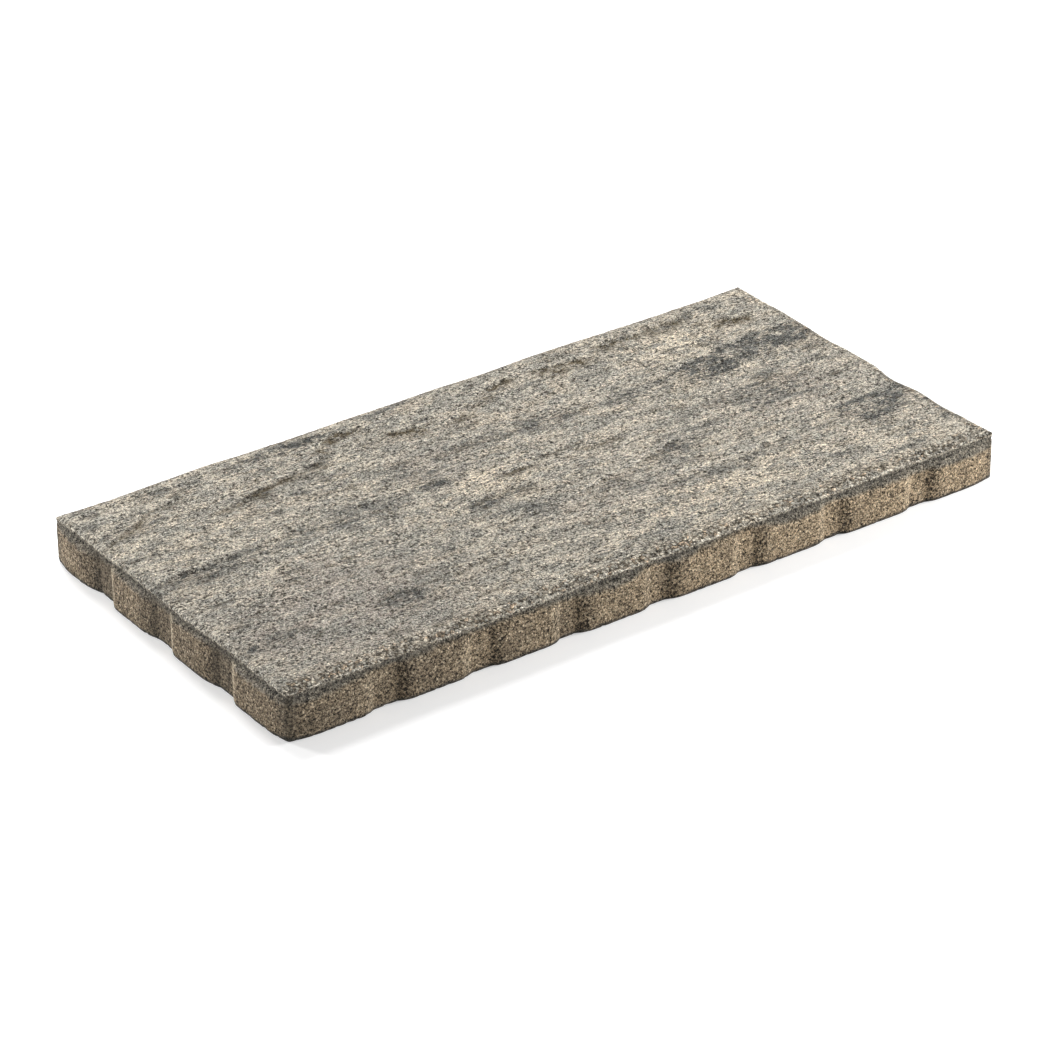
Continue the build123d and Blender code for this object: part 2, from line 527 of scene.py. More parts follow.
def mix_lines() -> dict[Side, Line]:
    """Return how far down the face mix reaches along each wall."""
    front_left = ((-400, 11), (-365, 12), (-300, 6), (-265, 9), (-235, 6), (-138, 6), (-75, 11), (-38, 12.5))
    front_middle = ((-8, 5), (20, 11), (60, 6), (103, 4), (128, 9), (150, 13))
    front_right = ((205, 10), (255, 11), (315, 13), (345, 15), (400, 15))
    return {
        Side.FRONT: front_left + front_middle + front_right,
        Side.RIGHT: ((-200, 15), (-120, 10), (-40, 13), (60, 8), (140, 12), (200, 10)),
        Side.BACK: ((-400, 10), (-280, 13), (-160, 8), (-60, 12), (80, 9), (190, 13), (300, 8), (400, 12)),
        Side.LEFT: ((-200, 11), (-130, 12), (-60, 9), (20, 12), (90, 10), (150, 13), (200, 9)),
    }


@dataclass
class PressedWall:
    """The pressed walls: spacer lobes, grooves, drag streaks and the face mix line."""

    setback: float = 5.5
    lobe_shoulder: float = 31.0
    lobe_top: float = 41.0
    lobe_top_wander: float = 1.6
    hewn_low: float = 34.0
    flank_skew: float = 0.62
    flank_width: float = 16.0
    full_depth: float = 5.0
    corner_draw: float = 3.6
    corner_reach: float = 15.0
    corner_smear: float = 7.0
    hollow: float = 0.35
    crust: float = 0.22
    worn_edge: float = 0.55
    worn_high: float = 0.9
    foot_draw: float = 0.25
    foot_high: float = 5.0
    foot_chip: float = 1.3
    foot_chip_high: float = 2.2
    flash_out: float = 0.35
    smeared: tuple[Side, ...] = (Side.LEFT,)
    # How strong the pale rubbed flanks are on each wall, partly a painted highlight where the flanks face the
    # light.
    rubbed: tuple[float, float, float, float] = (0.35, 0.35, 0.35, 1.0)
    bite_grit: Grit = Grit(83, 12)
    mix_grit: Grit = Grit(97, 16)
    top_grit: Grit = Grit(107, 34, layers=2)
    ragged_grit: Grit = Grit(109, 9, 7, 3, 0.6)
    worn_grit: Grit = Grit(113, 11, gain=0.7)
    crust_grit: Grit = Grit(127, 4.2, 4.2, 2, 0.6)
    foot_grit: Grit = Grit(137, 7, gain=0.7)
    grooves: dict[Side, tuple[Groove, ...]] = field(default_factory=wall_grooves)
    bites: dict[Side, tuple[float, ...]] = field(default_factory=arris_bites)
    mix_line: dict[Side, Line] = field(default_factory=mix_lines)

    def lobe(self, side: Side, along: Array) -> tuple[Array, Shares]:
        """Work out the lobes along one wall.

        Args:
            side: the wall.
            along: places along it.

        Returns:
            How far the lobes stand out, and the shares of rubbed flanks with painted highlight, pitted flanks
            with painted shade, and the seam and smear, which are painted shade on the grooves' steep flanks
            and floors.
        """
        out, slope = np.full_like(along, self.setback), np.zeros_like(along)
        seam, smear = np.zeros_like(along), np.zeros_like(along)
        for groove in self.grooves[side]:
            off = along - groove.place
            width = np.where(off < 0, groove.before, groove.after)
            share = np.clip((np.abs(off) - groove.floor / 2) / width, 0, 1) ** self.flank_skew
            out = out - groove.depth * 0.5 * (1.0 + np.cos(math.pi * share))
            slope = slope + np.sign(off) * groove.depth * np.sin(math.pi * share) * self.flank_width / width
            past_floor = off - groove.floor / 2
            # A dark line on the steep flank past each groove's floor: painted shade.
            seam = np.maximum(seam, groove.depth / self.full_depth * bell(past_floor - 2.0, 1.8))
            # The groove floors darken, deeper grooves more: painted shade.
            smear = np.maximum(smear, groove.depth / self.full_depth * bell(past_floor - 4.0, 8.0))
            smear = np.maximum(smear, 0.75 * groove.depth / self.full_depth * (1.0 - share))
        shares = {
            # Flanks turned one way are rubbed smoother and carry a painted highlight; flanks turned the other
            # way are more pitted and carry painted shade.
            Mask.RUBBED_AND_LIT: self.rubbed[side.place] * smooth(1.0, 3.6, -slope),
            Mask.PITTED_AND_SHADED: np.clip(slope / 4.5, 0, 1),
            Mask.SEAM: seam,
            Mask.SMEAR: smear * (side in self.smeared),
        }
        return out, shares

    def bite(self, side: Side, along: Array, half: float) -> Array:
        """Work out how far the hewn arris bows out along one wall.

        Args:
            side: the wall.
            along: places along it.
            half: half the wall's length.

        Returns:
            The bow at each place.
        """
        depths = np.array(self.bites[side])
        knots = np.linspace(-half, half, len(depths))
        reach = np.clip((along - knots[0]) / (knots[1] - knots[0]), 0, len(depths) - 1.001)
        low = reach.astype(int)
        share = smooth(0.0, 1.0, reach - low)
        fine = 0.35 * self.bite_grit.along(along, 7 * side.place)
        return depths[low] * (1 - share) + depths[low + 1] * share + fine

    def mix_depth(self, side: Side, along: Array) -> Array:
        """Work out how far below the arris the face mix reaches.

        Args:
            side: the wall.
            along: places along it.

        Returns:
            The depth at each place.
        """
        knots = np.array(self.mix_line[side])
        rough = self.mix_grit.along(along, 5 * side.place)
        return np.interp(along, knots[:, 0], knots[:, 1]) - 1.8 + 1.8 * rough


@dataclass
class PavingSlab:
    """The whole slab as one closed mesh with its three finishes."""

    name: str = "riven_slab"
    arris: float = 45.5
    corner: float = 3.0
    skim: float = 0.6
    edge_pitch: float = 1.3
    edge_band: float = 16.0
    flank_before: float = 8.0
    flank_after: float = 2.0
    field_pitch: float = 2.6
    wall_pitch: float = 1.45
    deep_groove: float = 3.0
    arris_grit: Grit = Grit(101, 70, 70)
    rubbed_grit: Grit = Grit(131, 9, 9, 2)
    wall: PressedWall = field(default_factory=PressedWall)

    def __post_init__(self) -> None:
        """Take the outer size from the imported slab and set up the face."""
        low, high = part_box(NODE)
        self.half_length = (high.x - low.x) / 2 / MM
        self.half_width = (high.y - low.y) / 2 / MM
        self.thickness = high.z / MM
        self.half_x = self.half_length - self.wall.setback
        self.half_y = self.half_width - self.wall.setback
        self.face = RivenFace(self.half_x, self.half_y)

    def lines(self, half: float, flanks: tuple[float, ...] = ()) -> Array:
        """Space the grid lines from edge to edge, closer near both edges and at steep flanks.

        Args:
            half: half the length that they cover.
            flanks: where steep flanks of grooves stand.

        Returns:
            The places of the lines.
        """
        edge = np.arange(0.0, self.edge_band, self.edge_pitch)
        inner = np.linspace(-half + self.edge_band, 0, int((half - self.edge_band) / self.field_pitch) + 1)
        left = np.concatenate((edge - half, inner))
        plain = np.concatenate((left, -left[-2::-1]))
        close = np.add.outer(flanks, np.arange(-self.flank_before, self.flank_after, self.edge_pitch)).ravel()
        apart = np.abs(plain[:, None] - close[None, :]).min(axis=1, initial=half) > self.edge_pitch / 2
        return np.sort(np.concatenate((plain[apart], close)))

    @cached_property
    def plan(self) -> tuple[Array, Array]:
        """Return the grid lines along and across the slab."""
        deep = [groove for groove in self.wall.grooves[Side.LEFT] if groove.depth > self.deep_groove]
        return self.lines(self.half_x), self.lines(self.half_y, tuple(g.place - g.floor / 2 for g in deep))

    def past_corner(self, x: Array, y: Array) -> tuple[Array, Array]:
        """Return how far points lie past the start of the rounded corners."""
        past_x = np.clip(np.abs(x) - (self.half_x - self.corner), 0, None)
        return past_x, np.clip(np.abs(y) - (self.half_y - self.corner), 0, None)

    def rounded(self, x: Array, y: Array) -> tuple[Array, Array]:
        """Draw a rectangle in to the slab's rounded corners.

        Args:
            x, y: places along and across the rectangle.

        Returns:
            The drawn in places, along and across.
        """
        past_x, past_y = self.past_corner(x, y)
        reach = np.maximum(past_x, past_y)
        both = (past_x > 0) & (past_y > 0)
        scale = np.where(both, reach / np.maximum(np.hypot(past_x, past_y), TINY), 1.0)
        new_x = np.sign(x) * (np.abs(x) - past_x + past_x * scale)
        return new_x, np.sign(y) * (np.abs(y) - past_y + past_y * scale)

    def face_grid(self) -> tuple[Array, Array, Array, Shares]:
        """Work out the points of the face.

        Returns:
            Their places along and across the slab, heights and masks, row by row.
        """
        base_x, base_y = np.meshgrid(*self.plan)
        x, y = self.rounded(base_x, base_y)
        relief, masks = self.face.height(x, y)
        for side in Side:
            facing_x, facing_y = side.value
            along, half, inset = side.course(x, y, self.half_x, self.half_y)
            shift = self.wall.bite(side, along, half) * fade(inset, self.face.calm_edge)
            x, y = x + facing_x * shift, y + facing_y * shift
        z = self.arris + 0.45 * self.arris_grit.at(x, y) + relief
        over = z - self.thickness
        skimmed = self.thickness - self.skim * np.exp(-(over + self.skim) / self.skim)
        z = np.where(over > -self.skim, skimmed, z)
        for mask, share in self.face.colour_shares(x, y).items():
            masks[mask] = np.maximum(masks.get(mask, 0.0), share)
        edge = np.minimum(self.half_x - np.abs(base_x), self.half_y - np.abs(base_y))
        rubbed = bell(edge, 2.4) * smooth(-0.4, 0.2, self.rubbed_grit.at(x, y))
        masks[Mask.FLASH] = np.maximum(masks[Mask.FLASH], rubbed)
        return x, y, z, masks

    def rim(self, count_x: int, count_y: int) -> Array:
        """Return the grid indices of the face's edge, once round from front left."""
        grid = np.arange(count_x * count_y).reshape(count_y, count_x)
        return np.concatenate((grid[0, :-1], grid[:-1, -1], grid[-1, :0:-1], grid[:0:-1, 0]))

    def wall_rows(self) -> Array:
        """Space the wall's rows, closer near the arris and the foot.

        Returns:
            Shares of the wall's height, from near the arris down.
        """
        near = np.array([0.5, 1.0, 1.6, 2.3, 3.1, 4.0])
        middle = np.arange(5.2, self.arris - 2.4, self.wall_pitch)
        low = self.arris - np.array([2.0, 1.3, 0.7, 0.25, 0.0])
        return 1.0 - np.concatenate((near, middle, low)) / self.arris

    def outline(self) -> tuple[Array, Array, Array, Array]:
        """Work out the plain outline of the walls.

        Returns:
            The places once round the slab, and the direction out from each of them.
        """
        base_x, base_y = self.plan
        index = self.rim(len(base_x), len(base_y))
        x, y = (part.ravel()[index] for part in self.rounded(*np.meshgrid(base_x, base_y)))
        past_x, past_y = self.past_corner(x, y)
        length = np.maximum(np.hypot(past_x, past_y), TINY)
        return x, y, np.sign(x) * past_x / length, np.sign(y) * past_y / length

    def lobes_round(self, x: Array, y: Array, out_x: Array, out_y: Array) -> tuple[Array, Array, Shares]:
        """Join the lobes of the four walls round the corners.

        Args:
            x, y: places of the outline along and across the slab.
            out_x, out_y: the direction out, along and across the slab.

        Returns:
            How far the lobes stand out, how far down the face mix reaches, and the masks of the lobes.
        """
        out, depth = np.zeros_like(x), np.zeros_like(x)
        shares = {mask: np.zeros_like(x) for mask in (Mask.RUBBED_AND_LIT, Mask.PITTED_AND_SHADED, Mask.SEAM, Mask.SMEAR)}
        for side in Side:
            facing_x, facing_y = side.value
            along = x if facing_y else y
            weight = np.clip(out_x * facing_x + out_y * facing_y, 0, 1) ** 2
            side_out, side_shares = self.wall.lobe(side, along)
            out = out + weight * side_out
            depth = depth + weight * self.wall.mix_depth(side, along)
            shares = {mask: shares[mask] + weight * share for mask, share in side_shares.items()}
        return out, depth, shares

    def wall_points(self, x: Array, y: Array, z: Array) -> tuple[Array, Shares]:
        """Work out the rings of points down the walls.

        Args:
            x, y, z: places of the arris along and across the slab, and its heights.

        Returns:
            Points as rows, rings and axes, and the masks of the walls.
        """
        wall = self.wall
        plain_x, plain_y, out_x, out_y = self.outline()
        stand, depth, lobe = self.lobes_round(plain_x, plain_y, out_x, out_y)
        from_corner = np.hypot(self.half_x - np.abs(plain_x), self.half_y - np.abs(plain_y))
        at_corner = bell(from_corner, wall.corner_reach)
        stand = stand - wall.corner_draw * at_corner
        steps = (np.diff(places, prepend=places[-1]) for places in (plain_x, plain_y))
        run = np.cumsum(np.hypot(*steps))

        height = self.wall_rows()[:, None] * z
        fall = self.arris - height
        top = wall.lobe_top + wall.lobe_top_wander * wall.top_grit.along(run)
        rise = np.clip((height - wall.lobe_shoulder) / (top - wall.lobe_shoulder), 0, 1)
        lobed = np.sqrt(np.clip(1.0 - rise**2, 0, 1)) * (1.0 - smooth(0.9, 1.0, rise))
        around = np.broadcast_to(run, height.shape)
        ragged = wall.ragged_grit.at(around, height)
        crust = wall.crust * wall.crust_grit.at(around, height)
        out = stand * lobed - wall.hollow * (0.5 + 0.5 * ragged) + crust
        worn = wall.worn_edge * (1.0 + 0.9 * wall.worn_grit.along(run))
        out = out - worn * fade(height, wall.worn_high)
        out = out - wall.foot_draw * (1 - smooth(0.0, wall.foot_high, height))
        chipped = smooth(0.05, 0.45, wall.foot_grit.along(run))
        out = out - wall.foot_chip * chipped * bell(height, wall.foot_chip_high)
        out = out + wall.flash_out * bell(fall - 0.6, 0.8)
        hewn = smooth(wall.hewn_low, self.arris, height)
        px = plain_x + hewn * (x - plain_x) + out_x * out
        py = plain_y + hewn * (y - plain_y) + out_y * out

        # The smear at the corners, joined by the painted shade in the grooves.
        smear = np.maximum(bell(from_corner, wall.corner_smear), lobe[Mask.SMEAR])
        masks = {
            Mask.FACE_MIX: 1.0 - smooth(-2.6, 2.6, fall - depth + 2.0 * ragged),
            # Rubbed flanks with painted highlight, and pitted flanks with painted shade.
            Mask.RUBBED_AND_LIT: lobe[Mask.RUBBED_AND_LIT] * lobed,
            Mask.PITTED_AND_SHADED: lobe[Mask.PITTED_AND_SHADED] * lobed,
            # Painted shade on the grooves' steep flanks, up to the top of the lobes.
            Mask.SEAM: lobe[Mask.SEAM] * (1.0 - smooth(36.0, 43.0, height + 3.0 * ragged)),
            Mask.SMEAR: np.broadcast_to(smear, height.shape),
            Mask.FLASH: bell(fall, 1.5) * smooth(-0.6, 0.1, ragged),
            # A thin line of painted shade a little below the arris, under the pale flash.
            Mask.ARRIS_SHADE: bell(fall - 3.6, 1.9) * smooth(-0.9, -0.1, ragged),
            Mask.FOOT: 1.0 - smooth(1.4, 4.4, height - 1.5 * at_corner + 2.4 * ragged),
        }
        return np.stack((px, py, height), -1), masks

    def build(self) -> bpy.types.Object:
        """Make the slab's closed mesh, with its masks and skins.

        Returns:
            The slab's object, linked to the scene.
        """
        x, y, z, masks = self.face_grid()
        count_y, count_x = x.shape
        rim = self.rim(count_x, count_y)
        rings, wall_masks = self.wall_points(x.ravel()[rim], y.ravel()[rim], z.ravel()[rim])
        top = np.stack((x, y, z), -1).reshape(-1, 3)
        points = np.concatenate((top, rings.reshape(-1, 3))) * MM

        grid = np.arange(count_x * count_y).reshape(count_y, count_x)
        cells = np.stack((grid[:-1, :-1], grid[:-1, 1:], grid[1:, 1:], grid[1:, :-1]), -1).reshape(-1, 4)
        loops = np.concatenate((rim[None, :], len(top) + np.arange(rings.size // 3).reshape(-1, len(rim))))
        after = np.roll(loops, -1, axis=1)
        bands = np.stack((loops[1:], after[1:], after[:-1], loops[:-1]), -1).reshape(-1, 4)
        faces = [*cells.tolist(), *bands.tolist(), loops[-1][::-1].tolist()]

        mesh = bpy.data.meshes.new(self.name)
        mesh.from_pydata(points.tolist(), [], faces)
        skins = [Skin.FACE.value] * len(cells) + [Skin.WALL.value] * len(bands) + [Skin.UNDERSIDE.value]
        mesh.polygons.foreach_set("material_index", skins)
        mesh.polygons.foreach_set("use_smooth", [skin != Skin.UNDERSIDE.value for skin in skins])
        for mask in Mask:
            on_face = masks.get(mask, np.zeros(x.shape)).ravel()
            on_wall = wall_masks.get(mask, np.zeros(rings.shape[:2])).ravel()
            layer = mesh.attributes.new(mask.value, "FLOAT", "POINT")
            layer.data.foreach_set("value", np.concatenate((on_face, on_wall)).astype(np.float32))
        mesh.validate()
        mesh.update()
        slab = bpy.data.objects.new(self.name, mesh)
        bpy.context.scene.collection.objects.link(slab)
        return slab

    def dress(self, slab: bpy.types.Object) -> None:
        """Give each skin of the slab its finish, and tie the slab to the frame.

        Args:
            slab: the slab's object.
        """
        for finish in (RivenFinish(), WallFinish(), UndersideFinish()):
            slab.data.materials.append(finish.material())
        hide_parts(NODE)
        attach(slab, "root")


class Wire:
    """One output of a node, with the arithmetic that adds Math nodes."""

    def __init__(self, shader: "Shader", socket: bpy.types.NodeSocket) -> None:
        """Keep the socket and the shader that it belongs to."""
        self.shader = shader
        self.socket = socket

    def maths(self, operation: str, first: "Wire | float", second: "Wire | float") -> "Wire":
        """Add one Math node and return its output."""
        return self.shader.wire("ShaderNodeMath", {"operation": operation}, {0: first, 1: second})

    def __add__(self, other: "Wire | float") -> "Wire":
        """Return the sum."""
        return self.maths("ADD", self, other)

    __radd__ = __add__

    def __mul__(self, other: "Wire | float") -> "Wire":
        """Return the product."""
        return self.maths("MULTIPLY", self, other)

    __rmul__ = __mul__

    def __sub__(self, other: "Wire | float") -> "Wire":
        """Return this less the other."""
        return self.maths("SUBTRACT", self, other)

    def __rsub__(self, other: "Wire | float") -> "Wire":
        """Return the other less this."""
        return self.maths("SUBTRACT", other, self)

    def above(self, low: float, high: float) -> "Wire":
        """Return 0 below low, 1 above high and a smooth rise between them."""
        values = {"Value": self, "From Min": low, "From Max": high}
        return self.shader.wire("ShaderNodeMapRange", {"interpolation_type": "SMOOTHSTEP"}, values)


class Shader:
    """The node tree of a material or a world, built from values, wires and named nodes."""

    def __init__(self, owner: Owner, output: str = "ShaderNodeOutputMaterial") -> None:
        """Start an empty tree with one output.

        Args:
            owner: the material or world.
            output: the type of its output node.
        """
        owner.use_nodes = True
        self.owner = owner
        self.tree = owner.node_tree
        self.tree.nodes.clear()
        self.output = self.node(output, {}, {})

    @cached_property
    def place(self) -> Wire:
        """Return the place on the slab, in metres."""
        return self.wire("ShaderNodeTexCoord", {}, {}, "Object")

    def node(self, kind: str, settings: Values, values: Values) -> bpy.types.Node:
        """Add a node, set it up and feed its sockets.

        Args:
            kind: the node's type.
            settings: its properties, set first.
            values: numbers, colours or wires for its inputs, by name or place.

        Returns:
            The node.
        """
        node = self.tree.nodes.new(kind)
        for name, value in settings.items():
            setattr(node, name, value)
        for key, value in values.items():
            if isinstance(value, Wire):
                self.tree.links.new(value.socket, node.inputs[key])
            elif isinstance(value, tuple) and len(node.inputs[key].default_value) == 4:
                node.inputs[key].default_value = (*value, 1.0)
            else:
                node.inputs[key].default_value = value
        return node

    def wire(self, kind: str, settings: Values, values: Values, output: str | int = 0) -> Wire:
        """Add a node and take one of its outputs.

        Args:
            kind: the node's type.
            settings: its properties.
            values: what its inputs take.
            output: the name or place of the output.

        Returns:
            The output.
        """
        return Wire(self, self.node(kind, settings, values).outputs[output])

    def mask(self, mask: Mask) -> Wire:
        """Return one of the mesh's masks."""
        return self.wire("ShaderNodeAttribute", {"attribute_name": mask.value}, {}, "Fac")

    def stretched(self, scale: Colour, shift: float) -> Wire:
        """Return the place on the slab, stretched and moved along."""
        values = {"Scale": scale, "Location": (shift, 1.7 * shift, 0.6 * shift)}
        return self.wire("ShaderNodeMapping", {}, {"Vector": self.place, **values})

    def noise(
        self, stretch: Colour, shift: float, scale: float, detail: float = 3.0, roughness: float = 0.6
    ) -> Wire:
        """Fill the slab with noise about one half.

        Args:
            stretch: how closely it lies along each axis.
            shift: how far the pattern is moved along.
            scale: how many features lie in a metre.
            detail: how many finer layers it has.
            roughness: the strength of each finer layer.

        Returns:
            The noise.
        """
        place = self.stretched(stretch, shift)
        values = {"Vector": place, "Scale": scale, "Detail": detail, "Roughness": roughness}
        return self.wire("ShaderNodeTexNoise", {}, values)

    def grains(self, shift: float, scale: float) -> tuple[Wire, Wire]:
        """Pack grains over the slab.

        Args:
            shift: how far the pattern is moved along.
            scale: how many grains lie in a metre.

        Returns:
            A random tone for each grain, and the distance from its middle.
        """
        node = self.node("ShaderNodeTexVoronoi", {}, {"Vector": self.stretched(EVEN, shift), "Scale": scale})
        tone = self.wire("ShaderNodeSeparateColor", {}, {"Color": Wire(self, node.outputs["Color"])})
        return tone, Wire(self, node.outputs["Distance"])

    def mix(self, share: Wire | float, first: Wire | Colour, second: Wire | Colour) -> Wire:
        """Return a colour between two, by a share."""
        # The Mix node keeps its two colours as inputs 6 and 7, and gives the mixed one as output 2.
        values = {0: share, 6: first, 7: second}
        return self.wire("ShaderNodeMix", {"data_type": "RGBA", "clamp_factor": True}, values, 2)

    def layers(self, colour: Wire, *layers: tuple[Wire | float, Wire | Colour]) -> Wire:
        """Lay colours over another, each by its share.

        Args:
            colour: the colour below.
            layers: the share and colour of each layer, from the lowest up.

        Returns:
            The colour seen on top.
        """
        for share, layer in layers:
            colour = self.mix(share, colour, layer)
        return colour

    def shade(self, colour: Wire, tone: Wire) -> Wire:
        """Return a colour made lighter or darker by a tone about one."""
        return self.wire("ShaderNodeVectorMath", {"operation": "SCALE"}, {0: colour, "Scale": tone})

    def seen(self) -> Wire:
        """Return 1 where the camera, a gloss or glass looks, and 0 elsewhere."""
        names = ("Is Camera Ray", "Is Glossy Ray", "Is Transmission Ray")
        camera, glossy, glass = (self.wire("ShaderNodeLightPath", {}, {}, name) for name in names)
        return camera.maths("MAXIMUM", camera.maths("MAXIMUM", camera, glossy), glass)

    def stone(self, colour: Wire, roughness: float, relief: Wire) -> Owner:
        """Close the tree with a stone surface.

        Args:
            colour: its base colour.
            roughness: its roughness.
            relief: the height of its fine relief, in metres.

        Returns:
            What the tree belongs to.
        """
        bump = self.wire("ShaderNodeBump", {}, {"Strength": 1.0, "Distance": 1.0, "Height": relief}, "Normal")
        values = {"Base Color": colour, "Roughness": roughness, "Normal": bump, "Specular IOR Level": 0.25}
        return self.close(self.wire("ShaderNodeBsdfPrincipled", {}, values))

    def close(self, surface: Wire) -> Owner:
        """Lead a surface to the output and return what the tree belongs to."""
        self.tree.links.new(surface.socket, self.output.inputs["Surface"])
        return self.owner


@dataclass(frozen=True)
class RivenFinish:
    """The split face: grey and buff mottle, charcoal streaks, cream patches and grit."""

    grey: Colour = (0.305, 0.288, 0.246)
    buff: Colour = (0.555, 0.500, 0.408)
    charcoal: Colour = (0.090, 0.091, 0.084)
    cream: Colour = (0.720, 0.628, 0.490)
    plum: Colour = (0.262, 0.232, 0.212)
    warm: Colour = (0.500, 0.410, 0.300)
    # Brown of the painted shade at the ledges' feet.
    crevice: Colour = (0.105, 0.082, 0.048)
    crumb: Colour = (0.085, 0.064, 0.040)
    pebble: Colour = (0.520, 0.385, 0.260)
    salt: Colour = (0.850, 0.800, 0.700)
    pepper: Colour = (0.030, 0.025, 0.018)
    roughness: float = 0.92

    def material(self) -> bpy.types.Material:
        """Mix the face's colours from wide to fine, then its tone and relief.

        Returns:
            The material.
        """
        coat = Shader(bpy.data.materials.new("riven_face"))
        flow = coat.noise((1.0, 2.8, 2.8), 0.0, 15.0, 5.0, 0.62)
        mottle = coat.noise((1.0, 1.7, 1.7), 2.3, 40.0)
        brush = coat.noise((1.0, 3.6, 3.6), 3.1, 75.0, 4.0, 0.68)
        cloud = coat.noise((1.0, 1.3, 1.3), 4.4, 150.0, 3.0, 0.65)
        grit = coat.noise((1.0, 1.2, 1.2), 5.3, 430.0, 3.0, 0.8)
        fibre = coat.noise((1.0, 3.2, 3.2), 8.6, 230.0, 3.0, 0.75)
        pore = coat.noise((1.0, 1.5, 1.5), 9.7, 270.0, 3.0, 0.75)
        hair = coat.noise((1.0, 6.0, 6.0), 12.1, 95.0, 3.0, 0.7)
        grain, gap = coat.grains(1.3, 500.0)
        sand, seam = coat.grains(7.9, 860.0)
        stone, nook = coat.grains(5.1, 300.0)

        broad = (0.30 * flow + 0.45 * mottle + 0.45 * brush + 0.25 * cloud - 0.225).above(0.415, 0.59)
        rusty = (0.6 * flow + 0.4 * cloud).above(0.50, 0.60)
        plum = coat.mask(Mask.PLUM) * (0.5 * cloud + 0.5 * mottle).above(0.38, 0.60)
        pale = coat.mask(Mask.CREAM) * (0.45 * mottle + 0.30 * cloud + 0.25 * brush).above(0.42, 0.56)
        clouded = (0.3 * mottle + 0.35 * cloud + 0.35 * fibre).above(0.57, 0.45)
        dark = coat.mask(Mask.CHARCOAL) * (0.12 + 1.5 * clouded)
        crumb = coat.mask(Mask.CRUMB)
        # Painted shade at the ledges' feet, broken up by noise.
        ledge_shade_share = coat.mask(Mask.LEDGE_SHADE) * (0.5 * cloud + 0.5 * fibre).above(0.38, 0.54)
        holes = (pore + 0.35 * cloud + 0.12 * flow).above(0.805, 0.835)
        pits = (stone + 0.9 * cloud).above(1.37, 1.40) * (0.60 - nook).above(0.0, 0.14)
        lines = hair.above(0.57, 0.62)
        colour = coat.layers(
            coat.mix(broad, self.grey, self.buff),
            (0.35 * rusty, self.warm),
            (0.6 * plum, self.plum),
            (0.78 * pale, self.cream),
            (0.92 * dark, self.charcoal),
            # Dark gaps between the crumbs of the bevel: painted shade.
            (0.85 * crumb * (nook + 0.9 * grit).above(0.86, 1.06), self.crumb),
            (0.65 * crumb * stone.above(0.90, 0.93), self.pebble),
            (0.80 * ledge_shade_share, self.crevice),
            # Pale flash along the arris, and painted highlight along the top edges of the ledges.
            (0.42 * coat.mask(Mask.FLASH) * (0.5 + 0.7 * grain), self.salt),
            (0.30 * (0.7 * grit + 0.3 * grain).above(0.66, 0.74), self.salt),
            (0.90 * holes, self.pepper),
            (0.80 * pits, self.pepper),
            (0.55 * lines, self.pepper),
        )
        # The grains take random tones and darken towards their rims, which paints shade round each grain.
        speckle = 0.45 * grit + 0.65 * grain + 1.25 * sand + 1.20 * fibre - 1.00 * gap - 0.70 * seam - 0.84
        tone = 1.005 + (1.22 - 0.45 * broad) * speckle
        # Crumbs take a random tone and darken towards their rims: painted shade.
        tone = tone + 1.3 * crumb * (stone - 0.23) - 0.5 * crumb * (nook - 0.42)
        relief = 0.0040 * brush + 0.0016 * cloud + 0.0026 * grit + 0.0016 * fibre
        relief = relief - 0.0015 * gap - 0.0008 * seam
        relief = relief - 0.0022 * holes - 0.0010 * lines - 0.0030 * crumb * nook
        return coat.stone(coat.shade(colour, tone), self.roughness, relief)


